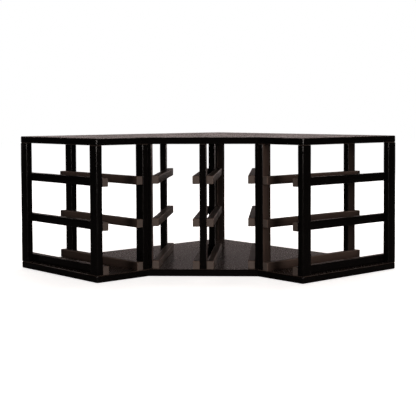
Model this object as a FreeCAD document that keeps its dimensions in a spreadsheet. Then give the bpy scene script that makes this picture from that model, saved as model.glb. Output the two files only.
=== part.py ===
import FreeCAD, Part
import math
import os
import Sketcher

# Corner wine rack for twelve bottles, in millimetres.
#
# Two boards of the same seven-sided outline hold seven upright frames between them. Each frame
# is a front post and a rear post with bearer bars running front to back, and a bottle lies on
# the two bars of a bay. The outline has a square back corner for the room corner, a wing along
# each wall, and a straight front between the wings.
#
# Axes: X to the right, Y to the back, Z up. The origin is on the floor, under the middle of the
# boards' bounding box. A wing is turned 45 degrees, so its own x axis runs along its front.

DRIVING_SIZES = [
    ("rack_height", 300.0),
    ("frame_depth", 300.0),
    ("bay_width", 104.0),
    ("board_thickness", 15.0),
    ("board_corner_radius", 3.0),
    ("board_arris", 2.5),
    ("post_thickness", 15.0),
    ("post_depth", 25.0),
    ("corner_post_size", 25.0),
    ("bar_width", 15.0),
    ("bar_height", 18.0),
    ("level_pitch", 92.0),
    ("timber_arris", 1.5),
    ("side_lap", 9.0),
    ("side_clearance", 0.5),
    ("bar_dowel_diameter", 6.0),
    ("post_web", 3.0),
    ("bar_cover", 4.5),
    ("glue_gap", 0.5),
    ("dowel_chamfer", 0.8),
    ("board_dowel_diameter", 8.0),
    ("board_cover", 5.0),
    ("post_dowel_seat", 20.0),
    ("screw_diameter", 4.0),
    ("screw_hole_clearance", 0.5),
    ("screw_head_diameter", 8.0),
    ("screw_sink", 0.3),
    ("screw_length", 45.0),
    ("screw_point", 4.0),
    ("screw_web", 1.5),
    ("recess_width", 1.0),
    ("recess_span", 4.4),
    ("recess_depth", 1.6),
]
LEVELS = 3
SCREW_CONE_ANGLE = 90.0

doc = FreeCAD.newDocument("corner_wine_rack")
sheet = doc.addObject("Spreadsheet::Sheet", "sizes")
for row, (alias, value) in enumerate(DRIVING_SIZES, start=1):
    sheet.set("A%d" % row, alias)
    sheet.set("B%d" % row, str(value))
    sheet.setAlias("B%d" % row, alias)
doc.recompute()


# ---------------------------------------------------------------------------
# Expressions for sizes that follow from the driving ones
# ---------------------------------------------------------------------------

WING_WIDTH = "(sizes.bay_width + 2 * sizes.post_thickness)"
SIDE_OUTER_X = "(sizes.bay_width + 1.5 * sizes.post_thickness)"
JOIN_X = "(%s - sizes.side_lap)" % SIDE_OUTER_X
NEAR_X = "(%s + %s / sqrt(2))" % (JOIN_X, WING_WIDTH)
END_X = "(%s + sizes.frame_depth / sqrt(2))" % NEAR_X
BACK_Y = "((%s + sizes.frame_depth / sqrt(2)) / 2)" % END_X
END_Y = "(%s - %s)" % (BACK_Y, END_X)
NEAR_Y = "(0 - %s)" % BACK_Y
JOIN_Y = "(%s + %s / sqrt(2))" % (NEAR_Y, WING_WIDTH)
SIDE_FRONT_Y = "(%s + sizes.side_lap + sizes.side_clearance)" % JOIN_Y
POST_HEIGHT = "(sizes.rack_height - 2 * sizes.board_thickness)"
POST_SEAT = "((sizes.post_thickness - sizes.post_web) / 2)"
BAR_SEAT = "(sizes.bar_width - sizes.bar_cover)"
BOARD_SEAT = "(sizes.board_thickness - sizes.board_cover)"
POST_MIDDLE = "(sizes.post_depth / 2)"
SCREW_OFFSET = "(sizes.bar_dowel_diameter / 2 + sizes.screw_diameter / 2 + sizes.screw_web)"


def value_of(expression):
    """Number that an expression gives with the sheet's present sizes."""
    return float(sheet.evalExpression(expression))


def level_height(level):
    """Expression for the underside of the bars of one level."""
    return "(sizes.board_thickness + %d * sizes.level_pitch)" % level


# ---------------------------------------------------------------------------
# Frames: where each stands and which side its bars are on
# ---------------------------------------------------------------------------

class Frame:
    """An upright frame: the place of its front corner, its turn and its bar sides.

    The frame's own x axis crosses its thickness and its own y axis runs to the back.
    turn is +1 for 45 degrees anticlockwise, -1 for 45 degrees clockwise and 0 for straight.
    bar_sides holds +1 for bars on the face at post_thickness and -1 for the face at 0.
    """

    def __init__(self, name, origin_x, origin_y, turn, start, bar_sides):
        self.name = name
        self.turn = turn
        self.bar_sides = bar_sides
        self.origin_x = origin_x
        self.origin_y = origin_y
        self.start = start

    def place_x(self, across, back):
        """Expression for the X of a point given in the frame's own axes."""
        along = "(%s + %s)" % (self.start, across)
        if self.turn == 0:
            return "(%s + %s)" % (self.origin_x, along)
        return "(%s + (%s - %d * %s) / sqrt(2))" % (self.origin_x, along, self.turn, back)

    def place_y(self, across, back):
        """Expression for the Y of a point given in the frame's own axes."""
        along = "(%s + %s)" % (self.start, across)
        if self.turn == 0:
            return "(%s + %s)" % (self.origin_y, back)
        return "(%s + (%d * %s + %s) / sqrt(2))" % (self.origin_y, self.turn, along, back)


def make_frames():
    """Seven frames, from the left end round to the right end."""
    last = "(%s - sizes.post_thickness)" % WING_WIDTH
    left_x = "(0 - %s)" % NEAR_X
    side_left = "(0 - %s)" % SIDE_OUTER_X
    side_right = "(%s - sizes.post_thickness)" % SIDE_OUTER_X
    middle = "(0 - sizes.post_thickness / 2)"
    return [
        Frame("left_end", left_x, NEAR_Y, 1, "0", [1]),
        Frame("left_junction", left_x, NEAR_Y, 1, last, [-1]),
        Frame("left_side", side_left, SIDE_FRONT_Y, 0, "0", [1]),
        Frame("middle", middle, JOIN_Y, 0, "0", [-1, 1]),
        Frame("right_side", side_right, SIDE_FRONT_Y, 0, "0", [-1]),
        Frame("right_junction", JOIN_X, JOIN_Y, -1, "0", [1]),
        Frame("right_end", JOIN_X, JOIN_Y, -1, last, [-1]),
    ]


# ---------------------------------------------------------------------------
# Sketch and feature helpers
# ---------------------------------------------------------------------------

def add_body(name):
    """New body that carries one sub-part's name."""
    body = doc.addObject("PartDesign::Body", name)
    body.Label = name
    return body


def add_sketch(body, role, name, offset=None):
    """Sketch on one of the body's own origin planes, lifted by an expression if given."""
    sketch = body.newObject("Sketcher::SketchObject", body.Name + "_" + name)
    plane = [item for item in body.Origin.OriginFeatures if item.Role == role][0]
    sketch.AttachmentSupport = [(plane, "")]
    sketch.MapMode = "FlatFace"
    if offset:
        sketch.setExpression("AttachmentOffset.Base.z", offset)
    return sketch


def bind(sketch, kind, first, first_point, second, second_point, name, expression):
    """Named distance constraint whose size follows an expression."""
    value = value_of(expression)
    constraint = Sketcher.Constraint(kind, first, first_point, second, second_point, value)
    index = sketch.addConstraint(constraint)
    sketch.renameConstraint(index, name)
    sketch.setExpression("Constraints." + name, expression)


def draw_rectangle(sketch, wide, deep):
    """Rectangle from the sketch origin towards +x and +y."""
    x = value_of(wide)
    y = value_of(deep)
    corners = [(0, 0), (x, 0), (x, y), (0, y)]
    points = [FreeCAD.Vector(corner[0], corner[1], 0) for corner in corners]
    for index in range(4):
        sketch.addGeometry(Part.LineSegment(points[index], points[(index + 1) % 4]), False)
    for index in range(4):
        following = (index + 1) % 4
        sketch.addConstraint(Sketcher.Constraint("Coincident", index, 2, following, 1))
    sketch.addConstraint(Sketcher.Constraint("Horizontal", 0))
    sketch.addConstraint(Sketcher.Constraint("Vertical", 1))
    sketch.addConstraint(Sketcher.Constraint("Horizontal", 2))
    sketch.addConstraint(Sketcher.Constraint("Vertical", 3))
    sketch.addConstraint(Sketcher.Constraint("Coincident", 0, 1, -1, 1))
    bind(sketch, "DistanceX", 0, 1, 0, 2, "wide", wide)
    bind(sketch, "DistanceY", 1, 1, 1, 2, "deep", deep)


def draw_circles(sketch, centres, diameter):
    """Circles of one diameter, with each centre given as a pair of expressions."""
    radius = value_of(diameter) / 2
    for index, (x, y) in enumerate(centres):
        centre = FreeCAD.Vector(value_of(x), value_of(y), 0)
        circle = Part.Circle(centre, FreeCAD.Vector(0, 0, 1), radius)
        sketch.addGeometry(circle, False)
        bind(sketch, "DistanceX", -1, 1, index, 3, "x%d" % index, x)
        bind(sketch, "DistanceY", -1, 1, index, 3, "y%d" % index, y)
        constraint = Sketcher.Constraint("Diameter", index, 2 * radius)
        number = sketch.addConstraint(constraint)
        sketch.renameConstraint(number, "d%d" % index)
        sketch.setExpression("Constraints.d%d" % index, diameter)


def add_pad(body, sketch, length):
    """Pad along the sketch normal."""
    pad = body.newObject("PartDesign::Pad", body.Name + "_pad")
    pad.Profile = sketch
    pad.setExpression("Length", length)
    sketch.Visibility = False
    doc.recompute()
    return pad


def add_pocket(body, sketch, name, depth, along_normal):
    """Blind pocket, checked to have taken material away."""
    before = body.Shape.Volume
    pocket = body.newObject("PartDesign::Pocket", body.Name + "_" + name)
    pocket.Profile = sketch
    pocket.Type = 0
    pocket.Reversed = along_normal
    pocket.setExpression("Length", depth)
    sketch.Visibility = False
    doc.recompute()
    if body.Shape.Volume >= before:
        raise RuntimeError("pocket cut nothing: " + pocket.Name)
    return pocket


def add_fillet(body, base, name, radius, wanted):
    """Fillet on the edges of the base feature that the wanted test picks."""
    names = []
    for index, edge in enumerate(base.Shape.Edges, start=1):
        if wanted(edge):
            names.append("Edge%d" % index)
    fillet = body.newObject("PartDesign::Fillet", body.Name + "_" + name)
    fillet.Base = (base, names)
    fillet.setExpression("Radius", radius)
    doc.recompute()
    return fillet


def runs_along(edge, axis):
    """True for a straight edge parallel to the axis."""
    if edge.Curve.TypeId != "Part::GeomLine":
        return False
    return abs(abs(edge.Curve.Direction.dot(axis)) - 1.0) < 1e-6


def set_place(body, frame, across, back, height):
    """Bind a body's placement to a point in its frame's axes, turned with the frame."""
    body.Placement.Rotation = FreeCAD.Rotation(FreeCAD.Vector(0, 0, 1), 45.0 * frame.turn)
    body.setExpression("Placement.Base.x", frame.place_x(across, back))
    body.setExpression("Placement.Base.y", frame.place_y(across, back))
    body.setExpression("Placement.Base.z", height)


# ---------------------------------------------------------------------------
# Boards
# ---------------------------------------------------------------------------

def outline_corners():
    """The seven corners of a board, anticlockwise from the back corner."""
    return [
        ("0", BACK_Y),
        ("(0 - %s)" % END_X, END_Y),
        ("(0 - %s)" % NEAR_X, NEAR_Y),
        ("(0 - %s)" % JOIN_X, JOIN_Y),
        (JOIN_X, JOIN_Y),
        (NEAR_X, NEAR_Y),
        (END_X, END_Y),
    ]


def draw_outline(sketch):
    """Closed outline of a board."""
    corners = outline_corners()
    count = len(corners)
    points = [FreeCAD.Vector(value_of(x), value_of(y), 0) for x, y in corners]
    for index in range(count):
        sketch.addGeometry(Part.LineSegment(points[index], points[(index + 1) % count]), False)
    for index in range(count):
        following = (index + 1) % count
        sketch.addConstraint(Sketcher.Constraint("Coincident", index, 2, following, 1))
    for index, (x, y) in enumerate(corners):
        bind(sketch, "DistanceX", -1, 1, index, 1, "x%d" % index, x)
        bind(sketch, "DistanceY", -1, 1, index, 1, "y%d" % index, y)


def is_outer_corner(edge):
    """True for the upright edges of a board, except the two inner ones at the junctions."""
    if not runs_along(edge, FreeCAD.Vector(0, 0, 1)):
        return False
    x = abs(edge.Vertexes[0].X)
    y = edge.Vertexes[0].Y
    at_junction = abs(x - value_of(JOIN_X)) < 1 and abs(y - value_of(JOIN_Y)) < 1
    return not at_junction


def is_level(edge):
    """True for an edge that stays at one height."""
    return edge.BoundBox.ZLength < 1e-6


def make_board(name, height):
    """Board with rounded outer corners and eased top and bottom edges."""
    body = add_body(name)
    sketch = add_sketch(body, "XY_Plane", "outline")
    draw_outline(sketch)
    pad = add_pad(body, sketch, "sizes.board_thickness")
    rounded = add_fillet(body, pad, "corners", "sizes.board_corner_radius", is_outer_corner)
    add_fillet(body, rounded, "arris", "sizes.board_arris", is_level)
    body.setExpression("Placement.Base.z", height)
    return body


def dowel_centres(frames):
    """Centres of the dowels between the top board and the posts."""
    centres = []
    across = "sizes.post_thickness / 2"
    for frame in frames:
        for back in (POST_MIDDLE, "(sizes.frame_depth - %s)" % POST_MIDDLE):
            centres.append((frame.place_x(across, back), frame.place_y(across, back)))
    centres.append(corner_post_centre())
    return centres


def screw_centres(frames):
    """Centres of the screws up into the posts, clear of the lowest bar dowels."""
    centres = []
    across = "sizes.post_thickness / 2"
    front = "(%s - %s)" % (POST_MIDDLE, SCREW_OFFSET)
    rear = "(sizes.frame_depth - %s)" % front
    for frame in frames:
        for back in (front, rear):
            centres.append((frame.place_x(across, back), frame.place_y(across, back)))
    centres.append(corner_post_centre())
    return centres


def corner_post_centre():
    """Centre of the corner post, whose two back faces are flush with the wall edges."""
    return ("0", "(%s - sizes.corner_post_size / sqrt(2))" % BACK_Y)


def make_top_board(frames):
    """Top board with blind dowel holes in its underside."""
    body = make_board("top_board", "(sizes.rack_height - sizes.board_thickness)")
    sketch = add_sketch(body, "XY_Plane", "dowel_places")
    draw_circles(sketch, dowel_centres(frames), "sizes.board_dowel_diameter")
    add_pocket(body, sketch, "dowel_holes", "%s + sizes.glue_gap" % BOARD_SEAT, True)
    return body


def make_bottom_board(frames):
    """Bottom board with countersunk screw holes from below."""
    body = make_board("bottom_board", "0")
    sketch = add_sketch(body, "XY_Plane", "screw_places")
    hole_diameter = "sizes.screw_diameter + sizes.screw_hole_clearance"
    draw_circles(sketch, screw_centres(frames), hole_diameter)
    doc.recompute()
    before = body.Shape.Volume
    hole = body.newObject("PartDesign::Hole", "bottom_board_screw_holes")
    hole.Profile = sketch
    doc.recompute()
    hole.ThreadType = "None"
    hole.DepthType = "ThroughAll"
    hole.Reversed = True
    hole.setExpression("Diameter", hole_diameter)
    hole.HoleCutType = "Countersink"
    hole.HoleCutCustomValues = True
    hole.HoleCutCountersinkAngle = SCREW_CONE_ANGLE
    hole.setExpression("HoleCutDiameter", "sizes.screw_head_diameter + 2 * sizes.screw_sink")
    sketch.Visibility = False
    doc.recompute()
    if body.Shape.Volume >= before:
        raise RuntimeError("the screw holes cut nothing")
    return body


# ---------------------------------------------------------------------------
# Posts
# ---------------------------------------------------------------------------

def add_post_ends(body, centre, screw_centre):
    """Dowel hole in a post's top and pilot hole in its foot."""
    top = add_sketch(body, "XY_Plane", "top_dowel_place", POST_HEIGHT)
    draw_circles(top, [centre], "sizes.board_dowel_diameter")
    seat = "sizes.post_dowel_seat + sizes.glue_gap"
    add_pocket(body, top, "top_dowel_hole", seat, False)
    foot = add_sketch(body, "XY_Plane", "screw_place")
    draw_circles(foot, [screw_centre], "sizes.screw_diameter")
    pilot = "sizes.screw_length - sizes.board_thickness + sizes.screw_sink"
    add_pocket(body, foot, "pilot_hole", pilot, True)


def make_post(frame, end):
    """Front or rear post of a frame, with a dowel hole for each bar it carries."""
    body = add_body("%s_%s_post" % (frame.name, end))
    sketch = add_sketch(body, "XY_Plane", "section")
    draw_rectangle(sketch, "sizes.post_thickness", "sizes.post_depth")
    pad = add_pad(body, sketch, POST_HEIGHT)
    upright = FreeCAD.Vector(0, 0, 1)
    add_fillet(body, pad, "arris", "sizes.timber_arris", lambda edge: runs_along(edge, upright))
    heights = []
    for level in range(LEVELS):
        in_post = "(%s - sizes.board_thickness)" % level_height(level)
        heights.append((POST_MIDDLE, "%s + sizes.bar_height / 2" % in_post))
    for side in frame.bar_sides:
        face = "sizes.post_thickness" if side > 0 else "0"
        label = "right" if side > 0 else "left"
        holes = add_sketch(body, "YZ_Plane", label + "_dowel_places", face)
        draw_circles(holes, heights, "sizes.bar_dowel_diameter")
        depth = "%s + sizes.glue_gap" % POST_SEAT
        add_pocket(body, holes, label + "_dowel_holes", depth, side < 0)
    across = "sizes.post_thickness / 2"
    screw_back = "%s - %s" % (POST_MIDDLE, SCREW_OFFSET)
    back = "0"
    if end == "rear":
        screw_back = "%s + %s" % (POST_MIDDLE, SCREW_OFFSET)
        back = "(sizes.frame_depth - sizes.post_depth)"
    add_post_ends(body, (across, POST_MIDDLE), (across, screw_back))
    set_place(body, frame, "0", back, "sizes.board_thickness")
    return body


def make_corner_post():
    """Square post in the back corner, turned to lie along both walls."""
    body = add_body("corner_post")
    sketch = add_sketch(body, "XY_Plane", "section")
    draw_rectangle(sketch, "sizes.corner_post_size", "sizes.corner_post_size")
    pad = add_pad(body, sketch, POST_HEIGHT)
    upright = FreeCAD.Vector(0, 0, 1)
    add_fillet(body, pad, "arris", "sizes.timber_arris", lambda edge: runs_along(edge, upright))
    centre = ("sizes.corner_post_size / 2", "sizes.corner_post_size / 2")
    add_post_ends(body, centre, centre)
    body.Placement.Rotation = FreeCAD.Rotation(FreeCAD.Vector(0, 0, 1), 45.0)
    body.setExpression("Placement.Base.y", "%s - sizes.corner_post_size * sqrt(2)" % BACK_Y)
    body.setExpression("Placement.Base.z", "sizes.board_thickness")
    return body


# ---------------------------------------------------------------------------
# Bearer bars
# ---------------------------------------------------------------------------

def bar_name(frame, side, level):
    """Name of a bar, after its frame, its level and, on the middle frame, its side."""
    name = "%s_bar_%d" % (frame.name, level + 1)
    if len(frame.bar_sides) > 1:
        name = "%s_%s_bar_%d" % (frame.name, "right" if side > 0 else "left", level + 1)
    return name


def make_bar(frame, side, level):
    """Bar as long as the frame, against the bay side of its two posts."""
    body = add_body(bar_name(frame, side, level))
    sketch = add_sketch(body, "XY_Plane", "plan")
    draw_rectangle(sketch, "sizes.bar_width", "sizes.frame_depth")
    pad = add_pad(body, sketch, "sizes.bar_height")
    add_fillet(body, pad, "arris", "sizes.timber_arris", lambda edge: True)
    places = [(POST_MIDDLE, "sizes.bar_height / 2"),
              ("sizes.frame_depth - %s" % POST_MIDDLE, "sizes.bar_height / 2")]
    face = "0" if side > 0 else "sizes.bar_width"
    holes = add_sketch(body, "YZ_Plane", "dowel_places", face)
    draw_circles(holes, places, "sizes.bar_dowel_diameter")
    add_pocket(body, holes, "dowel_holes", "%s + sizes.glue_gap" % BAR_SEAT, side > 0)
    across = "sizes.post_thickness" if side > 0 else "(0 - sizes.bar_width)"
    set_place(body, frame, across, "0", level_height(level))
    return body


# ---------------------------------------------------------------------------
# Fasteners, each kind one group of separate solids
# ---------------------------------------------------------------------------

def dowel_shape(diameter, length):
    """Round dowel along +Z from the origin, with both ends chamfered."""
    rod = Part.makeCylinder(diameter / 2, length)
    return rod.makeChamfer(value_of("sizes.dowel_chamfer"), rod.Edges[0:1] + rod.Edges[2:3])


def screw_shape():
    """Countersunk screw along +Z: head face at the origin, with a cross recess, then a shank."""
    radius = value_of("sizes.screw_diameter") / 2
    head = value_of("sizes.screw_head_diameter") / 2
    length = value_of("sizes.screw_length")
    point = value_of("sizes.screw_point")
    cone = (head - radius) / math.tan(math.radians(SCREW_CONE_ANGLE / 2))
    profile = [(0, 0), (head, 0), (radius, cone), (radius, length - point), (0, length)]
    points = [FreeCAD.Vector(x, 0, z) for x, z in profile]
    face = Part.Face(Part.makePolygon(points + [points[0]]))
    solid = face.revolve(FreeCAD.Vector(0, 0, 0), FreeCAD.Vector(0, 0, 1), 360)
    width = value_of("sizes.recess_width")
    span = value_of("sizes.recess_span")
    depth = value_of("sizes.recess_depth")
    first = Part.makeBox(span, width, depth, FreeCAD.Vector(-span / 2, -width / 2, 0))
    second = Part.makeBox(width, span, depth, FreeCAD.Vector(-width / 2, -span / 2, 0))
    return solid.cut(first.fuse(second))


def add_group(name, shapes):
    """One named node that holds several separate solids."""
    group = doc.addObject("Part::Feature", name)
    group.Label = name
    group.Shape = Part.makeCompound(shapes)
    return group


def make_bar_dowels(frames):
    """Dowels between the bars and the posts, two for each bar."""
    post_seat = value_of(POST_SEAT)
    diameter = value_of("sizes.bar_dowel_diameter")
    dowel = dowel_shape(diameter, post_seat + value_of(BAR_SEAT))
    shapes = []
    for frame in frames:
        for side in frame.bar_sides:
            for level in range(LEVELS):
                for back in (POST_MIDDLE, "(sizes.frame_depth - %s)" % POST_MIDDLE):
                    face = "(sizes.post_thickness - %s)" % POST_SEAT if side > 0 else POST_SEAT
                    height = "%s + sizes.bar_height / 2" % level_height(level)
                    place = FreeCAD.Vector(value_of(frame.place_x(face, back)),
                                           value_of(frame.place_y(face, back)),
                                           value_of(height))
                    lying = FreeCAD.Rotation(FreeCAD.Vector(0, 1, 0), 90.0 * side)
                    turned = FreeCAD.Rotation(FreeCAD.Vector(0, 0, 1), 45.0 * frame.turn)
                    copy = dowel.copy()
                    copy.Placement = FreeCAD.Placement(place, turned.multiply(lying))
                    shapes.append(copy)
    return add_group("bar_dowels", shapes)


def make_top_dowels(frames):
    """Dowels that stand in the posts' tops and in the top board."""
    seat = value_of("sizes.post_dowel_seat")
    dowel = dowel_shape(value_of("sizes.board_dowel_diameter"), seat + value_of(BOARD_SEAT))
    height = value_of("sizes.rack_height - sizes.board_thickness") - seat
    shapes = []
    for x, y in dowel_centres(frames):
        copy = dowel.copy()
        copy.translate(FreeCAD.Vector(value_of(x), value_of(y), height))
        shapes.append(copy)
    return add_group("top_dowels", shapes)


def make_screws(frames):
    """Screws up through the bottom board, their heads just inside its underside."""
    screw = screw_shape()
    shapes = []
    for x, y in screw_centres(frames):
        copy = screw.copy()
        copy.translate(FreeCAD.Vector(value_of(x), value_of(y), value_of("sizes.screw_sink")))
        shapes.append(copy)
    return add_group("bottom_screws", shapes)


# ---------------------------------------------------------------------------
# The rack
# ---------------------------------------------------------------------------

def make_rack():
    """Every sub-part of the rack."""
    frames = make_frames()
    parts = [make_bottom_board(frames), make_top_board(frames), make_corner_post()]
    for frame in frames:
        parts.append(make_post(frame, "front"))
        parts.append(make_post(frame, "rear"))
        for side in frame.bar_sides:
            for level in range(LEVELS):
                parts.append(make_bar(frame, side, level))
    parts.append(make_bar_dowels(frames))
    parts.append(make_top_dowels(frames))
    parts.append(make_screws(frames))
    return parts


def check_document():
    """Stop if any object of the document failed to recompute."""
    for item in doc.Objects:
        if "Invalid" in item.State or "Error" in item.State:
            raise RuntimeError("failed object: " + item.Name)


def write_parts(parts):
    """Write each sub-part to its own file, after checking its shape."""
    os.makedirs("parts", exist_ok=True)
    for part in parts:
        if part.Shape.isNull() or not part.Shape.isValid():
            raise RuntimeError("bad shape: " + part.Label)
    for part in parts:
        part.Shape.exportStep("parts/%s.step" % part.Label)


rack_parts = make_rack()
doc.recompute()
check_document()
write_parts(rack_parts)
print("sub-parts written: %d" % len(rack_parts))
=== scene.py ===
import math
import zlib

import bpy
import numpy as np
from mathutils import Matrix, Vector


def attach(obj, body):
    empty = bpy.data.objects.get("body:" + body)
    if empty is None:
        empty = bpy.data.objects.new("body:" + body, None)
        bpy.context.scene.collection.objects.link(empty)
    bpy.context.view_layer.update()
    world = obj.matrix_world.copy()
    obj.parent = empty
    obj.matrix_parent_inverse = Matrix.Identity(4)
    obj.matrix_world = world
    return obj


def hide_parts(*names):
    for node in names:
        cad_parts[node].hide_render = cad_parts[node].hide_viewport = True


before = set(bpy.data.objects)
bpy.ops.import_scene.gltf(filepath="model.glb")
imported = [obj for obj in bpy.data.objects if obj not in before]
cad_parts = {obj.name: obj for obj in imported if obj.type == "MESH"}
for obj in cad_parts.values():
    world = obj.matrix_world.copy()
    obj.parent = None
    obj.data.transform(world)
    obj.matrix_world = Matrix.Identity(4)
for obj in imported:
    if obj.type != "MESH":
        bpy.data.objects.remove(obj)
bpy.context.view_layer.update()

# The rack is dark stained wood under a satin lacquer. Posts and bars are new pieces, worked out
# from the CAD nodes' own extents, so that each has its own grain, end grain and rubbed edges.
# The boards, dowels and screws are the CAD nodes themselves. Lengths are in metres.

BODY = "root"
LEVELS = (1, 2, 3)
EIGHTH_TURN = math.pi / 4

# The turn of each frame about Z, anticlockwise.
FRAME_TURNS = {
    "left_end": EIGHTH_TURN,
    "left_junction": EIGHTH_TURN,
    "left_side": 0.0,
    "middle": 0.0,
    "right_side": 0.0,
    "right_junction": -EIGHTH_TURN,
    "right_end": -EIGHTH_TURN,
}

# The frames whose posts are black on one side face, and which way along the frame's own X it is.
# On the two end frames that side faces out of the rack and is a black finish, and their bars are
# black there too. On the left junction that side is painted shade: it faces into the left bay,
# away from the key light.
BLACK_AND_SHADED_SIDES = {"left_end": -1, "left_junction": -1, "right_end": 1}
BLACK_BARS = ("left_end", "right_end")

# Sticks: the rounding along the edges and round the ends, the ring that each end closes with,
# the steps in a corner and along a side, and the rows along a piece and round its ends.
EDGE_RADIUS = 0.0016
END_RADIUS = 0.0012
END_RING = 0.88
ARC_STEPS = 4
FLAT_STEPS = 3
ROW_STEP = 0.012
LEAST_ROWS = 3
END_ROWS = 4

# The shallow wave that a planer leaves: depth, length along the piece and turns round it.
WAVE_DEPTH = 0.00018
WAVE_LENGTH = 0.085
WAVE_TURNS = 2
WAVE_SHIFT = 7

# How far a stick's grain is moved along each axis by its seed, so that no two match.
GRAIN_SHIFTS = (3.0, 1.7, 5.0)

# The black faces begin where the section's normal starts to lean towards one of the given
# directions, and are full a little further round. They are a black finish, and on the left
# junction's one side face painted shade.
BLACK_AND_SHADED_START = 0.03
BLACK_AND_SHADED_RISE = 0.30
BOARD_OUTSIDE = (0.35, 0.65)

# Glued panel: stave width, where the first seam falls, how far each stave's grain is shifted
# along it, how far its pith leans, and the seam's soft edge as a share of the width.
STAVE_WIDTH = 0.058
STAVE_START = 0.37
STAVE_SHIFT = 2.3
STAVE_LEAN = 0.06
SEAM_EDGE = (0.4935, 0.4985)
SEAM_DEPTH = 2.0

# Shares of the grain and lacquer effects in colour, roughness and relief.
FIGURE_SHARES = {"rings": 0.55, "fibre": 0.45}
TONE_SHARE = 0.55
PORE_SHARE = 0.6
DUST_SHARE = 0.25
ROUGH_SHARES = {"blotch": 0.14, "drag": 0.10, "pores": 0.12, "rubbed": 0.12, "end": 0.30}
BLACK_POLISH = 0.48
EDGE_SPREAD = 0.35
RELIEF_SHARES = {"fibre": 0.5, "pores": -0.8, "rings": 0.35, "drag": 0.6}
RELIEF_DEPTH = 0.00012
RUBBED_AMOUNT = 0.30

# Width of a growth ring in each kind of piece, and the finish: least roughness and relief.
POST_RING = 0.0022
BAR_RING = 0.0026
PANEL_RING = 0.0032
DOWEL_RING = 0.0015
TIMBER_SATIN, TIMBER_RELIEF = 0.24, 0.30
PANEL_SATIN, PANEL_RELIEF = 0.13, 0.08

# How finely each effect is scaled on the two axes across the grain and on the one along it.
BEND_SCALE = (22.0, 22.0, 3.0)
FIBRE_SCALE = (950.0, 950.0, 16.0)
PORE_SCALE = (1700.0, 1700.0, 70.0)
PATCH_SCALE = (60.0, 60.0, 25.0)
SCUFF_SCALE = (420.0, 420.0, 160.0)
BLOTCH_SCALE = (14.0, 14.0, 7.0)
DRAG_SCALE = (260.0, 260.0, 5.0)
DUST_SCALE = (2300.0, 2300.0, 2300.0)

# Growth rings: how far the pith lies outside the piece, how far noise bends the rings, how
# sharply each darkens and where it falls back.
PITH_OFFSET = 0.035
RING_BEND = 0.020
RING_POWER = 2.4
RING_FALL = (1.0, 0.93)
PORE_EDGE = (0.62, 0.74)

# Rubbed edges: shares of large patches and fine scuffs, and where the mask starts and is full.
PATCH_SHARE, SCUFF_SHARE = 0.8, 0.4
RUB_EDGE = (0.45, 1.15)
DUST_EDGE = (0.76, 0.80)

# Finishes: coat weight, coat roughness and specular level.
TIMBER_COAT = (0.04, 0.22, 0.20)
PANEL_COAT = (0.12, 0.22, 0.32)
BARE_FINISH = (0.0, 0.3, 0.32)

# Unfinished beech dowels and zinc plated screws: colours, roughness and how it varies.
BEECH_COLOURS = ((0.50, 0.34, 0.19), (0.36, 0.23, 0.12))
BEECH_ROUGHNESS, BEECH_PORE_ROUGHNESS = 0.6, 0.2
ZINC_COLOURS = ((0.55, 0.55, 0.56), (0.34, 0.34, 0.35))
ZINC_ROUGHNESS, ZINC_SCRATCH_ROUGHNESS = 0.2, 0.3
ZINC_CLOUD_SCALE = (700.0, 700.0, 700.0)
ZINC_SCRATCH_SCALE = (6000.0, 900.0, 900.0)

# Studio. The wall behind is brightest in a band just above the floor.
WHITE = (1.0, 1.0, 1.0)
NO_LIGHT = (0.0, 0.0, 0.0)
BACKDROP_COLOUR = (1.0, 0.83, 0.80)
BACKDROP_SIDES = (0.30, 0.95)
BACKDROP_BAND = (0.11, 0.03)
BAND_LEVEL = 1.30
UPPER_LEVEL = 0.036
ROOM_LEVEL = 0.006
FILL_COLOUR = (1.0, 0.90, 0.85)
FLOOR_COLOURS = ((0.93, 0.93, 0.93), (0.90, 0.90, 0.90))
FLOOR_CLOUD_SCALE = (1.5, 1.5, 1.5)
FLOOR_BOUNCE = (0.05, 0.05, 0.05)
FLOOR_GLOW = (0.70, 0.70, 0.70)
FLOOR_FADE = (0.35, 1.0)
FLOOR_RADIUS = 9.0
FLOOR_GAP = 0.0004
FLOOR_SIDES = 96

# Soft boxes: name, place, width and height, and watts. All look at the middle of the rack.
LIGHT_TARGET = (0.0, 0.0, 0.15)
LIGHTS = (
    ("overhead", (0.1, 1.1, 2.5), (2.4, 1.4), 34.0),
    ("side_right", (2.0, 2.1, 1.0), (1.2, 1.2), 16.0),
    ("side_left", (-2.0, 2.3, 1.0), (1.2, 1.2), 10.0),
    ("fill_right", (1.6, -2.2, 0.60), (0.8, 0.8), 42.0),
    ("fill_left", (-1.7, -2.2, 0.70), (0.8, 0.8), 25.0),
)


# ---------------------------------------------------------------------------
# Timber pieces
# ---------------------------------------------------------------------------

def turned_extent(node, turn):
    """Lowest and highest corner of a CAD node in axes turned about Z with its frame."""
    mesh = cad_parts[node].data
    points = np.empty(len(mesh.vertices) * 3, np.float32)
    mesh.vertices.foreach_get("co", points)
    points = points.reshape(-1, 3) @ turn_matrix(-turn).T
    return points.min(0), points.max(0)


def turn_matrix(turn):
    """Rotation about Z as a 3 by 3 array."""
    c, s = math.cos(turn), math.sin(turn)
    return np.array([[c, -s, 0.0], [s, c, 0.0], [0.0, 0.0, 1.0]])


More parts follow.
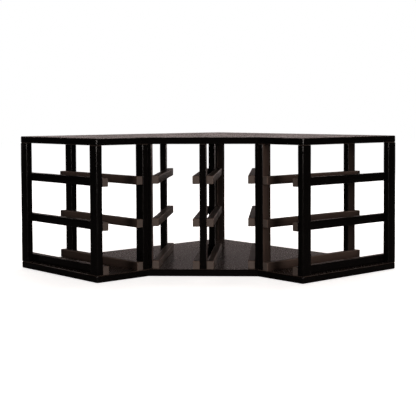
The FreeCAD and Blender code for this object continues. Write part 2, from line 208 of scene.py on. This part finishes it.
def rounded_section(half_a, half_b, radius):
    """Rounded rectangle as inner points, normals that point out of it and an edge weight.

    A surface point is the inner point plus the radius times the normal. The inner points go
    round the rectangle that is smaller by the radius. Each corner is a quarter turn of the
    normal about one inner point, and each side has evenly spaced inner points and one normal.
    The weight is the sine of twice the corner angle, so it is 1 in the middle of an edge.
    """
    inner = np.array([half_a - radius, half_b - radius])
    signs = np.array([[1, 1], [-1, 1], [-1, -1], [1, -1]])
    points, normals, weights = [], [], []
    for index in range(4):
        corner = signs[index] * inner
        following = signs[(index + 1) % 4] * inner
        swing = np.linspace(0, math.pi / 2, ARC_STEPS + 1)
        angle = swing + index * math.pi / 2
        points.append(np.repeat(corner[None], ARC_STEPS + 1, 0))
        normals.append(np.stack([np.cos(angle), np.sin(angle)], 1))
        weights.append(np.sin(2 * swing))
        share = np.linspace(0, 1, FLAT_STEPS + 1)[1:-1, None]
        points.append(corner + (following - corner) * share)
        normals.append(np.repeat(normals[-1][-1:], FLAT_STEPS - 1, 0))
        weights.append(np.zeros(FLAT_STEPS - 1))
    return np.concatenate(points), np.concatenate(normals), np.concatenate(weights)


def end_rows(length):
    """Rows along a piece: place, inset, edge weight and end mask.

    At each end the rows follow a quarter circle: the place is the radius times one minus the
    sine, and the inset is the radius times one minus the cosine of the same angle. Between the
    ends the rows are evenly spaced with no inset. The weight is 1 in the middle of the rounding,
    and the mask falls from 1 on the end face to 0 where the rounding meets the side.
    """
    angle = np.linspace(0, math.pi / 2, END_ROWS + 1)
    place = END_RADIUS * (1 - np.sin(angle))[::-1]
    inset = END_RADIUS * (1 - np.cos(angle))[::-1]
    count = max(int(length / ROW_STEP), LEAST_ROWS)
    middle = np.linspace(END_RADIUS, length - END_RADIUS, count + 1)[1:-1]
    places = np.concatenate([place, middle, length - place[::-1]])
    zeros = np.zeros(len(middle))
    insets = np.concatenate([inset, zeros, inset[::-1]])
    weight = np.sin(np.linspace(0, math.pi, END_ROWS + 1))
    weights = np.concatenate([weight, zeros, weight])
    fade = np.linspace(1, 0, END_ROWS + 1)
    ends = np.concatenate([fade, zeros, fade[::-1]])
    return places, insets, weights, ends


def seed_of(name):
    """Steady number from 0 to 1 for a piece's name."""
    return (zlib.crc32(name.encode()) % 100003) / 100003


def write_mesh(name, points, loops, caps):
    """Mesh from points and faces given as arrays of vertex numbers."""
    mesh = bpy.data.meshes.new(name)
    mesh.from_pydata(points.tolist(), [], loops.tolist() + [cap.tolist() for cap in caps])
    mesh.update()
    mesh.validate()
    mesh.polygons.foreach_set("use_smooth", np.ones(len(mesh.polygons), bool))
    return mesh


def add_attribute(mesh, name, kind, values):
    """Point attribute from an array."""
    attribute = mesh.attributes.new(name, kind, "POINT")
    key = "vector" if kind == "FLOAT_VECTOR" else "value"
    attribute.data.foreach_set(key, values.astype(np.float32).ravel())


def make_timber(node, turn, along, material, black_and_shaded_directions=()):
    """A planed stick in the place of a CAD node: a rounded section carried along one axis.

    The point at row i and section step j is the inner point plus the normal times the radius
    less the row's inset and a shallow wave. The wave is a sine along the piece times a cosine
    round it, scaled so that it only ever goes inward. Each end is closed by one ring drawn in
    towards the middle and a flat cap. The black mask is 1 where the section's normal lies
    along one of the given directions, falls to 0 round the edge, and is the largest of them.
    It is a black finish on outer faces, and painted shade on the left junction's one side face.
    """
    low, high = turned_extent(node, turn)
    size = high - low
    axis_a, axis_b = ((0, 1) if along == 2 else (2, 0))
    inner, normal, corner = rounded_section(size[axis_a] / 2, size[axis_b] / 2, EDGE_RADIUS)
    places, insets, end_weight, end_face = end_rows(size[along])
    seed = seed_of(node)
    steps = np.arange(len(inner)) / len(inner)
    round_angle = 2 * math.pi * (WAVE_TURNS * steps + seed)
    along_angle = 2 * math.pi * (places / WAVE_LENGTH + WAVE_SHIFT * seed)
    wave = np.sin(along_angle)[:, None] * np.cos(round_angle)
    depth = insets[:, None] + WAVE_DEPTH * (1 + wave) / 2
    section = inner[None] + normal[None] * (EDGE_RADIUS - depth)[..., None]

    rings = np.concatenate([section[:1] * END_RING, section, section[-1:] * END_RING])
    places = np.concatenate([places[:1], places, places[-1:]])
    end_face = np.concatenate([[1.0], end_face, [1.0]])
    arris = np.maximum(corner[None], end_weight[:, None])
    arris = np.concatenate([np.zeros((1, len(inner))), arris, np.zeros((1, len(inner)))])
    rows, columns = rings.shape[:2]

    local = np.empty((rows, columns, 3))
    local[..., axis_a] = rings[..., 0]
    local[..., axis_b] = rings[..., 1]
    local[..., along] = (places - size[along] / 2)[:, None]
    centre = (low + high) / 2
    world = (local + centre).reshape(-1, 3) @ turn_matrix(turn).T

    number = np.arange(rows * columns).reshape(rows, columns)
    right = np.roll(number, -1, 1)
    quads = np.stack([number[:-1], right[:-1], right[1:], number[1:]], -1).reshape(-1, 4)
    mesh = write_mesh(node + "_timber", world, quads, [number[0][::-1], number[-1]])

    # Black mask: a black finish on outer faces, and painted shade on the left junction's one
    # side face.
    facing = np.zeros(columns)
    for direction in black_and_shaded_directions:
        along_it = normal @ np.array(direction)
        facing = np.maximum(facing, np.clip((along_it - BLACK_AND_SHADED_START) / BLACK_AND_SHADED_RISE, 0, 1))

    grain = np.empty((rows, columns, 3))
    grain[..., 0] = rings[..., 0] + GRAIN_SHIFTS[0] * seed
    grain[..., 1] = rings[..., 1] + GRAIN_SHIFTS[1] * seed_of(node + "_b")
    grain[..., 2] = places[:, None] + GRAIN_SHIFTS[2] * seed
    add_attribute(mesh, "grain_place", "FLOAT_VECTOR", grain.reshape(-1, 3))
    add_attribute(mesh, "arris", "FLOAT", arris)
    add_attribute(mesh, "end_face", "FLOAT", np.repeat(end_face[:, None], columns, 1))
    add_attribute(mesh, "tone", "FLOAT", np.full(rows * columns, seed_of(node + "_tone")))
    add_attribute(mesh, "black_and_shaded", "FLOAT", np.repeat(facing[None], rows, 0))

    piece = bpy.data.objects.new(node + "_timber", mesh)
    bpy.context.scene.collection.objects.link(piece)
    mesh.materials.append(material)
    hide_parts(node)
    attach(piece, BODY)


# ---------------------------------------------------------------------------
# Shader helpers
# ---------------------------------------------------------------------------

def new_group(name, inputs, outputs):
    """Node group with named sockets: a name and a type each, and a value for an input."""
    group = bpy.data.node_groups.new(name, "ShaderNodeTree")
    for label, kind, value in inputs:
        socket = group.interface.new_socket(
            label, in_out="INPUT", socket_type="NodeSocket" + kind)
        if value is not None:
            socket.default_value = value
    for label, kind in outputs:
        group.interface.new_socket(label, in_out="OUTPUT", socket_type="NodeSocket" + kind)
    start = group.nodes.new("NodeGroupInput")
    end = group.nodes.new("NodeGroupOutput")
    return group, start, end


def math_node(tree, operation, first, second=None, clamp=False):
    """Math node whose inputs are sockets or numbers."""
    node = tree.nodes.new("ShaderNodeMath")
    node.operation = operation
    node.use_clamp = clamp
    for index, value in enumerate((first, second)):
        if value is None:
            continue
        if isinstance(value, (int, float)):
            node.inputs[index].default_value = value
        else:
            tree.links.new(value, node.inputs[index])
    return node.outputs[0]


def weighted_sum(tree, parts, clamp=False):
    """Sum of sockets, each multiplied by its own share."""
    total = None
    for number, (socket, share) in enumerate(parts):
        part = math_node(tree, "MULTIPLY", socket, share)
        last = number == len(parts) - 1
        total = part if total is None else math_node(tree, "ADD", total, part, clamp and last)
    return total


def smooth_step(tree, value, low, high):
    """0 at low, 1 at high and smooth between. Low may be the larger of the two."""
    node = tree.nodes.new("ShaderNodeMapRange")
    node.interpolation_type = "SMOOTHSTEP"
    node.inputs["From Min"].default_value = low
    node.inputs["From Max"].default_value = high
    tree.links.new(value, node.inputs["Value"])
    return node.outputs[0]


def stretched_noise(tree, vector, scale, detail, roughness=0.5):
    """Noise on a vector multiplied by a scale along each axis."""
    mapping = tree.nodes.new("ShaderNodeVectorMath")
    mapping.operation = "MULTIPLY"
    mapping.inputs[1].default_value = scale
    tree.links.new(vector, mapping.inputs[0])
    noise = tree.nodes.new("ShaderNodeTexNoise")
    noise.inputs["Scale"].default_value = 1.0
    noise.inputs["Detail"].default_value = detail
    noise.inputs["Roughness"].default_value = roughness
    tree.links.new(mapping.outputs[0], noise.inputs["Vector"])
    return noise.outputs["Fac"]


def mix_colour(tree, factor, first, second):
    """Mix of two colours, each a socket or a colour."""
    node = tree.nodes.new("ShaderNodeMix")
    node.data_type = "RGBA"
    sockets = [item for item in node.inputs if item.type == "RGBA"]
    tree.links.new(factor, node.inputs[0])
    for socket, value in zip(sockets, (first, second)):
        if isinstance(value, tuple):
            socket.default_value = (*value, 1.0)
        else:
            tree.links.new(value, socket)
    return [item for item in node.outputs if item.type == "RGBA"][0]


# ---------------------------------------------------------------------------
# Shared effects
# ---------------------------------------------------------------------------

def build_grain_group():
    """Softwood grain in solid wood: growth rings about a bent pith, fibres and pores.

    A ring is the fraction of the distance from the pith over the ring width, after a slow noise
    has bent it, raised to a power so that it darkens late in each year.
    """
    group, start, end = new_group(
        "wood_grain",
        [("Place", "Vector", None), ("Ring Width", "Float", 0.0024)],
        [("Rings", "Float"), ("Fibre", "Float"), ("Pores", "Float")],
    )
    place = start.outputs["Place"]
    bend = stretched_noise(group, place, BEND_SCALE, 2.0)
    split = group.nodes.new("ShaderNodeSeparateXYZ")
    group.links.new(place, split.inputs[0])
    away = math_node(group, "MULTIPLY", split.outputs["X"], split.outputs["X"])
    aside = math_node(group, "ADD", split.outputs["Y"], PITH_OFFSET)
    aside = math_node(group, "MULTIPLY", aside, aside)
    distance = math_node(group, "SQRT", math_node(group, "ADD", away, aside))
    distance = math_node(group, "ADD", distance, math_node(group, "MULTIPLY", bend, RING_BEND))
    year = math_node(group, "DIVIDE", distance, start.outputs["Ring Width"])
    share = math_node(group, "FRACT", year)
    ring = math_node(group, "POWER", share, RING_POWER)
    fall = smooth_step(group, share, *RING_FALL)
    ring = math_node(group, "MULTIPLY", ring, fall)
    fibre = stretched_noise(group, place, FIBRE_SCALE, 3.0, 0.6)
    pores = stretched_noise(group, place, PORE_SCALE, 1.0)
    pores = smooth_step(group, pores, *PORE_EDGE)
    group.links.new(ring, end.inputs["Rings"])
    group.links.new(fibre, end.inputs["Fibre"])
    group.links.new(pores, end.inputs["Pores"])
    return group


def build_wear_group():
    """Stain rubbed off along the edges, broken up by noise."""
    group, start, end = new_group(
        "edge_wear",
        [("Place", "Vector", None), ("Arris", "Float", 0.0), ("Amount", "Float", 0.5)],
        [("Mask", "Float")],
    )
    patches = stretched_noise(group, start.outputs["Place"], PATCH_SCALE, 3.0)
    scuffs = stretched_noise(group, start.outputs["Place"], SCUFF_SCALE, 2.0)
    broken = weighted_sum(group, [(patches, PATCH_SHARE), (scuffs, SCUFF_SHARE)])
    level = math_node(group, "ADD", broken, start.outputs["Amount"])
    level = math_node(group, "MULTIPLY", level, start.outputs["Arris"])
    mask = smooth_step(group, level, *RUB_EDGE)
    group.links.new(mask, end.inputs["Mask"])
    return group


def build_lacquer_group():
    """Unevenness of the lacquer: slow blotches, brush drag along the grain and fine dust."""
    group, start, end = new_group(
        "lacquer_variation",
        [("Place", "Vector", None)],
        [("Blotch", "Float"), ("Drag", "Float"), ("Dust", "Float")],
    )
    place = start.outputs["Place"]
    blotch = stretched_noise(group, place, BLOTCH_SCALE, 3.0)
    drag = stretched_noise(group, place, DRAG_SCALE, 2.0)
    dust = stretched_noise(group, place, DUST_SCALE, 0.0)
    dust = smooth_step(group, dust, *DUST_EDGE)
    group.links.new(blotch, end.inputs["Blotch"])
    group.links.new(drag, end.inputs["Drag"])
    group.links.new(dust, end.inputs["Dust"])
    return group


GRAIN = build_grain_group()
WEAR = build_wear_group()
LACQUER = build_lacquer_group()


def use_group(tree, group, links, values=None):
    """Place a shared group in a material."""
    node = tree.nodes.new("ShaderNodeGroup")
    node.node_tree = group
    for label, socket in links.items():
        tree.links.new(socket, node.inputs[label])
    for label, value in (values or {}).items():
        node.inputs[label].default_value = value
    return node


# ---------------------------------------------------------------------------
# Materials
# ---------------------------------------------------------------------------

def new_material(name, coat, coat_roughness, gloss):
    """Principled material with its coat and specular level set and nothing else."""
    material = bpy.data.materials.new(name)
    material.use_nodes = True
    tree = material.node_tree
    shader = tree.nodes["Principled BSDF"]
    shader.inputs["Coat Weight"].default_value = coat
    shader.inputs["Coat Roughness"].default_value = coat_roughness
    shader.inputs["Specular IOR Level"].default_value = gloss
    return material, tree, shader


def read_attribute(tree, name, output):
    """Output of an attribute stored in a piece's mesh."""
    node = tree.nodes.new("ShaderNodeAttribute")
    node.attribute_name = name
    return node.outputs[output]


def stained_wood(tree, shader, place, arris, end, tone, black_and_shaded,
                 colours, ring_width, satin, relief):
    """Dark brown stain over grain, black by a mask, with rubbed edges and satin lacquer. The
    mask is a black finish on outer faces and painted shade on the left junction's one side face.
    """
    grain = use_group(tree, GRAIN, {"Place": place}, {"Ring Width": ring_width})
    rings, fibre, pores = (grain.outputs[label] for label in ("Rings", "Fibre", "Pores"))
    wear = use_group(tree, WEAR, {"Place": place, "Arris": arris}, {"Amount": RUBBED_AMOUNT})
    lacquer = use_group(tree, LACQUER, {"Place": place})
    blotch, drag, dust = (lacquer.outputs[label] for label in ("Blotch", "Drag", "Dust"))
    inside = math_node(tree, "SUBTRACT", 1.0, black_and_shaded)
    rubbed = math_node(tree, "MULTIPLY", wear.outputs["Mask"], inside)

    figure = weighted_sum(tree, [(rings, FIGURE_SHARES["rings"]),
                                 (fibre, FIGURE_SHARES["fibre"])], clamp=True)
    colour = mix_colour(tree, figure, colours["light"], colours["dark"])
    shade = math_node(tree, "MULTIPLY", tone, TONE_SHARE)
    colour = mix_colour(tree, shade, colour, colours["deep"])
    pore_shade = math_node(tree, "MULTIPLY", pores, PORE_SHARE)
    colour = mix_colour(tree, pore_shade, colour, colours["deep"])
    black = mix_colour(tree, figure, colours["black_light"], colours["black_dark"])
    # Black finish on outer faces; on the left junction's one side face this black is painted
    # shade.
    colour = mix_colour(tree, black_and_shaded, colour, black)
    if end is not None:
        sawn = mix_colour(tree, rings, colours["end_light"], colours["end_dark"])
        colour = mix_colour(tree, end, colour, sawn)
    colour = mix_colour(tree, rubbed, colour, colours["worn"])
    specks = math_node(tree, "MULTIPLY", dust, DUST_SHARE)
    colour = mix_colour(tree, specks, colour, colours["dust"])
    tree.links.new(colour, shader.inputs["Base Color"])

    parts = [(blotch, ROUGH_SHARES["blotch"]), (drag, ROUGH_SHARES["drag"]),
             (pores, ROUGH_SHARES["pores"]), (rubbed, ROUGH_SHARES["rubbed"])]
    if end is not None:
        parts.append((end, ROUGH_SHARES["end"]))
    rough = math_node(tree, "ADD", weighted_sum(tree, parts), satin, clamp=True)
    gloss = math_node(tree, "MULTIPLY", black_and_shaded, BLACK_POLISH)
    rough = math_node(tree, "MULTIPLY", rough, math_node(tree, "SUBTRACT", 1.0, gloss))
    brown_edge = math_node(tree, "MULTIPLY", arris, inside)
    spread = math_node(tree, "MULTIPLY", brown_edge, EDGE_SPREAD)
    rough = math_node(tree, "ADD", rough, spread, clamp=True)
    tree.links.new(rough, shader.inputs["Roughness"])

    height = weighted_sum(tree, [
        (fibre, RELIEF_SHARES["fibre"]), (pores, RELIEF_SHARES["pores"]),
        (rings, RELIEF_SHARES["rings"]), (drag, RELIEF_SHARES["drag"])])
    bump = tree.nodes.new("ShaderNodeBump")
    bump.inputs["Strength"].default_value = relief
    bump.inputs["Distance"].default_value = RELIEF_DEPTH
    tree.links.new(height, bump.inputs["Height"])
    tree.links.new(bump.outputs["Normal"], shader.inputs["Normal"])


# Stain colours: the grain's light and dark, its deepest tone, the same for the black faces, bare
# rubbed wood, cut ends and dust.
POST_COLOURS = {
    "light": (0.1000, 0.0690, 0.0560),
    "dark": (0.0380, 0.0255, 0.0205),
    "deep": (0.0150, 0.0098, 0.0078),
    "black_light": (0.0026, 0.0021, 0.0019),
    "black_dark": (0.0012, 0.0010, 0.0009),
    "worn": (0.170, 0.118, 0.092),
    "end_light": (0.095, 0.076, 0.066),
    "end_dark": (0.056, 0.044, 0.038),
    "dust": (0.10, 0.09, 0.085),
}
# The rear posts and the corner post take this darker copy of the post stain: painted shade at
# the back of the rack.
REAR_PAINTED_SHADE_COLOURS = dict(POST_COLOURS)
REAR_PAINTED_SHADE_COLOURS["light"] = (0.0300, 0.0210, 0.0172)
REAR_PAINTED_SHADE_COLOURS["dark"] = (0.0120, 0.0082, 0.0067)
BAR_COLOURS = dict(POST_COLOURS)
BAR_COLOURS["light"] = (0.0640, 0.0450, 0.0365)
BOARD_COLOURS = dict(POST_COLOURS)
BOARD_COLOURS["light"] = (0.0340, 0.0245, 0.0205)
BOARD_COLOURS["dark"] = (0.0140, 0.0098, 0.0082)


def timber_material(name, colours, ring_width):
    """Stained wood that follows each stick's own axes."""
    material, tree, shader = new_material(name, *TIMBER_COAT)
    stained_wood(
        tree, shader,
        place=read_attribute(tree, "grain_place", "Vector"),
        arris=read_attribute(tree, "arris", "Fac"),
        end=read_attribute(tree, "end_face", "Fac"),
        tone=read_attribute(tree, "tone", "Fac"),
        black_and_shaded=read_attribute(tree, "black_and_shaded", "Fac"),
        colours=colours, ring_width=ring_width, satin=TIMBER_SATIN, relief=TIMBER_RELIEF)
    return material


def stave_layout(tree, vector):
    """Panel glued up from staves that run front to back: grain place, tone and glue line."""
    split = tree.nodes.new("ShaderNodeSeparateXYZ")
    tree.links.new(vector, split.inputs[0])
    across = math_node(tree, "DIVIDE", split.outputs["X"], STAVE_WIDTH)
    across = math_node(tree, "ADD", across, STAVE_START)
    number = math_node(tree, "FLOOR", across)
    share = math_node(tree, "FRACT", across)
    chance = tree.nodes.new("ShaderNodeTexWhiteNoise")
    chance.noise_dimensions = "1D"
    tree.links.new(number, chance.inputs["W"])
    offset = math_node(tree, "MULTIPLY", chance.outputs["Value"], STAVE_SHIFT)
    from_middle = math_node(tree, "SUBTRACT", share, 0.5)
    centred = math_node(tree, "MULTIPLY", from_middle, STAVE_WIDTH)
    either_way = math_node(tree, "SUBTRACT", chance.outputs["Value"], 0.5)
    lean = math_node(tree, "MULTIPLY", either_way, STAVE_LEAN)
    place = tree.nodes.new("ShaderNodeCombineXYZ")
    tree.links.new(math_node(tree, "ADD", centred, lean), place.inputs["X"])
    tree.links.new(split.outputs["Z"], place.inputs["Y"])
    tree.links.new(math_node(tree, "ADD", split.outputs["Y"], offset), place.inputs["Z"])
    near = math_node(tree, "ABSOLUTE", from_middle)
    seam = smooth_step(tree, near, *SEAM_EDGE)
    return place.outputs[0], chance.outputs["Value"], seam


def board_material():
    """Stained panel of glued staves, rubbed along its rounded edges.

    The edge mask is four times the upright part of the normal times one minus that part, so it
    is 1 half way round an edge and 0 on the flat faces.
    """
    material, tree, shader = new_material("stained_panel", *PANEL_COAT)
    coordinates = tree.nodes.new("ShaderNodeTexCoord")
    place, tone, seam = stave_layout(tree, coordinates.outputs["Object"])
    geometry = tree.nodes.new("ShaderNodeNewGeometry")
    split = tree.nodes.new("ShaderNodeSeparateXYZ")
    tree.links.new(geometry.outputs["Normal"], split.inputs[0])
    upright = math_node(tree, "ABSOLUTE", split.outputs["Z"])
    level = math_node(tree, "SUBTRACT", 1.0, upright)
    slope = math_node(tree, "MULTIPLY", upright, level)
    arris = math_node(tree, "MULTIPLY", slope, 4.0, clamp=True)
    forward = math_node(tree, "MULTIPLY", split.outputs["Y"], -1.0)
    black_and_shaded = smooth_step(tree, forward, *BOARD_OUTSIDE)
    tone = math_node(tree, "MAXIMUM", tone, math_node(tree, "MULTIPLY", seam, SEAM_DEPTH))
    stained_wood(tree, shader, place=place, arris=arris, end=None, tone=tone, black_and_shaded=black_and_shaded,
                 colours=BOARD_COLOURS, ring_width=PANEL_RING, satin=PANEL_SATIN,
                 relief=PANEL_RELIEF)
    return material


def dowel_material():
    """Pale unfinished beech."""
    material, tree, shader = new_material("pale_beech", *BARE_FINISH)
    coordinates = tree.nodes.new("ShaderNodeTexCoord")
    place = {"Place": coordinates.outputs["Object"]}
    grain = use_group(tree, GRAIN, place, {"Ring Width": DOWEL_RING})
    colour = mix_colour(tree, grain.outputs["Fibre"], *BEECH_COLOURS)
    tree.links.new(colour, shader.inputs["Base Color"])
    pores = math_node(tree, "MULTIPLY", grain.outputs["Pores"], BEECH_PORE_ROUGHNESS)
    rough = math_node(tree, "ADD", pores, BEECH_ROUGHNESS)
    tree.links.new(rough, shader.inputs["Roughness"])
    return material


def screw_material():
    """Zinc plated steel, clouded and slightly scratched."""
    material, tree, shader = new_material("zinc_screw", *BARE_FINISH)
    shader.inputs["Metallic"].default_value = 1.0
    coordinates = tree.nodes.new("ShaderNodeTexCoord")
    vector = coordinates.outputs["Object"]
    cloud = stretched_noise(tree, vector, ZINC_CLOUD_SCALE, 3.0)
    colour = mix_colour(tree, cloud, *ZINC_COLOURS)
    tree.links.new(colour, shader.inputs["Base Color"])
    scratch = stretched_noise(tree, vector, ZINC_SCRATCH_SCALE, 1.0)
    scratch = math_node(tree, "MULTIPLY", scratch, ZINC_SCRATCH_ROUGHNESS)
    rough = math_node(tree, "ADD", scratch, ZINC_ROUGHNESS)
    tree.links.new(rough, shader.inputs["Roughness"])
    return material


def floor_material():
    """Lit white floor. The eye sees it white, and little of its light reaches the rack."""
    material, tree, shader = new_material("studio_floor", *BARE_FINISH)
    coordinates = tree.nodes.new("ShaderNodeTexCoord")
    cloud = stretched_noise(tree, coordinates.outputs["Object"], FLOOR_CLOUD_SCALE, 2.0)
    pale = mix_colour(tree, cloud, *FLOOR_COLOURS)
    path = tree.nodes.new("ShaderNodeLightPath")
    seen = path.outputs["Is Camera Ray"]
    colour = mix_colour(tree, seen, FLOOR_BOUNCE, pale)
    tree.links.new(colour, shader.inputs["Base Color"])
    away = tree.nodes.new("ShaderNodeVectorMath")
    away.operation = "LENGTH"
    tree.links.new(coordinates.outputs["Object"], away.inputs[0])
    far = smooth_step(tree, away.outputs["Value"], *FLOOR_FADE)
    level = mix_colour(tree, far, FLOOR_GLOW, WHITE)
    glow = mix_colour(tree, seen, NO_LIGHT, level)
    tree.links.new(glow, shader.inputs["Emission Color"])
    shader.inputs["Emission Strength"].default_value = 1.0
    shader.inputs["Roughness"].default_value = 0.9
    shader.inputs["Specular IOR Level"].default_value = 0.1
    return material


# ---------------------------------------------------------------------------
# The rack
# ---------------------------------------------------------------------------

def set_material(node, material):
    """Give a CAD node one material."""
    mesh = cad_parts[node].data
    mesh.materials.clear()
    mesh.materials.append(material)


def bar_nodes(name):
    """CAD nodes of the bars on one frame."""
    if name == "middle":
        return ["middle_%s_bar_%d" % (side, level)
                for side in ("left", "right") for level in LEVELS]
    return ["%s_bar_%d" % (name, level) for level in LEVELS]


def make_rack():
    """Every stick of the rack as its own piece, and materials for the CAD nodes that stay."""
    post = timber_material("stained_post", POST_COLOURS, POST_RING)
    # Rear posts and the corner post get the darker copy of the stain, painted shade at the back
    # of the rack.
    rear = timber_material("rear_post_painted_shade", REAR_PAINTED_SHADE_COLOURS, POST_RING)
    bar = timber_material("stained_bar", BAR_COLOURS, BAR_RING)
    make_timber("corner_post", EIGHTH_TURN, 2, rear)
    for name, turn in FRAME_TURNS.items():
        side = BLACK_AND_SHADED_SIDES.get(name, 0)
        # Black on the front and on the listed side: a black finish, and on the left junction
        # painted shade.
        black_and_shaded_directions = [(side, 0), (0, -1)]
        make_timber(name + "_front_post", turn, 2, post, black_and_shaded_directions)
        make_timber(name + "_rear_post", turn, 2, rear, black_and_shaded_directions)
        bar_outward = [(0, side)] if name in BLACK_BARS else []
        for node in bar_nodes(name):
            make_timber(node, turn, 1, bar, bar_outward)
    panel = board_material()
    set_material("top_board", panel)
    set_material("bottom_board", panel)
    dowel = dowel_material()
    set_material("bar_dowels", dowel)
    set_material("top_dowels", dowel)
    set_material("bottom_screws", screw_material())


# ---------------------------------------------------------------------------
# Studio
# ---------------------------------------------------------------------------

def make_floor():
    """Large pale disc that the rack stands on, a little below its underside."""
    angle = np.linspace(0, 2 * math.pi, FLOOR_SIDES, endpoint=False)
    height = np.full(FLOOR_SIDES, -FLOOR_GAP)
    rim = np.stack([FLOOR_RADIUS * np.cos(angle), FLOOR_RADIUS * np.sin(angle), height], 1)
    mesh = bpy.data.meshes.new("floor")
    mesh.from_pydata(rim.tolist(), [], [tuple(range(FLOOR_SIDES))])
    floor = bpy.data.objects.new("floor", mesh)
    bpy.context.scene.collection.objects.link(floor)
    mesh.materials.append(floor_material())


def make_world():
    """White backdrop for the eye; as light, a back wall that is brightest low down."""
    world = bpy.data.worlds.new("studio")
    bpy.context.scene.world = world
    world.use_nodes = True
    tree = world.node_tree
    tree.nodes.clear()
    coordinates = tree.nodes.new("ShaderNodeTexCoord")
    split = tree.nodes.new("ShaderNodeSeparateXYZ")
    tree.links.new(coordinates.outputs["Generated"], split.inputs[0])
    back = smooth_step(tree, split.outputs["Y"], *BACKDROP_SIDES)
    low = smooth_step(tree, split.outputs["Z"], *BACKDROP_BAND)
    level = math_node(tree, "ADD", math_node(tree, "MULTIPLY", low, BAND_LEVEL), UPPER_LEVEL)
    strength = math_node(tree, "ADD", math_node(tree, "MULTIPLY", back, level), ROOM_LEVEL)
    light = tree.nodes.new("ShaderNodeBackground")
    tree.links.new(strength, light.inputs["Strength"])
    light.inputs["Color"].default_value = (*BACKDROP_COLOUR, 1.0)
    seen = tree.nodes.new("ShaderNodeBackground")
    seen.inputs["Color"].default_value = (*WHITE, 1.0)
    seen.inputs["Strength"].default_value = 1.0
    path = tree.nodes.new("ShaderNodeLightPath")
    mix = tree.nodes.new("ShaderNodeMixShader")
    out = tree.nodes.new("ShaderNodeOutputWorld")
    tree.links.new(path.outputs["Is Camera Ray"], mix.inputs[0])
    tree.links.new(light.outputs[0], mix.inputs[1])
    tree.links.new(seen.outputs[0], mix.inputs[2])
    tree.links.new(mix.outputs[0], out.inputs["Surface"])


def make_light(name, place, size, power):
    """Soft box that looks at the middle of the rack."""
    data = bpy.data.lights.new(name, "AREA")
    data.shape = "RECTANGLE"
    data.size, data.size_y = size
    data.energy = power
    data.color = FILL_COLOUR
    light = bpy.data.objects.new(name, data)
    bpy.context.scene.collection.objects.link(light)
    light.location = place
    direction = Vector(LIGHT_TARGET) - Vector(place)
    light.rotation_euler = direction.to_track_quat("-Z", "Y").to_euler()


# The camera stands to the right of the middle, a little above the rack's top, and looks slightly
# left and down. Its numbers are its place, three angles, the lens in frame widths and the shift.
CAMERA_PLACE = (0.16843, -2.37891, 0.35182)
CAMERA_YAW = -0.0410
CAMERA_PITCH = 0.0428
CAMERA_ROLL = -0.0031
CAMERA_FOCAL = 2.4275
CAMERA_SHIFT = (-0.0769, -0.1250)
CAMERA_CLIP = (0.05, 60.0)
SENSOR = 36.0


def make_camera():
    """Camera from its place, its three angles and its focal length in frame widths."""
    data = bpy.data.cameras.new("camera")
    data.sensor_width = SENSOR
    data.lens = SENSOR * CAMERA_FOCAL
    data.shift_x, data.shift_y = CAMERA_SHIFT
    data.clip_start, data.clip_end = CAMERA_CLIP
    camera = bpy.data.objects.new("camera", data)
    bpy.context.scene.collection.objects.link(camera)
    forward = Vector((math.sin(CAMERA_YAW) * math.cos(CAMERA_PITCH),
                      math.cos(CAMERA_YAW) * math.cos(CAMERA_PITCH),
                      -math.sin(CAMERA_PITCH)))
    level = Vector((math.cos(CAMERA_YAW), -math.sin(CAMERA_YAW), 0.0))
    above = level.cross(forward)
    right = level * math.cos(CAMERA_ROLL) + above * math.sin(CAMERA_ROLL)
    up = above * math.cos(CAMERA_ROLL) - level * math.sin(CAMERA_ROLL)
    turn = Matrix((right, up, -forward)).transposed().to_4x4()
    camera.matrix_world = Matrix.Translation(CAMERA_PLACE) @ turn
    bpy.context.scene.camera = camera


make_rack()
make_floor()
make_world()
for name, place, size, power in LIGHTS:
    make_light(name, place, size, power)
make_camera()
bpy.context.scene.view_settings.view_transform = "Standard"
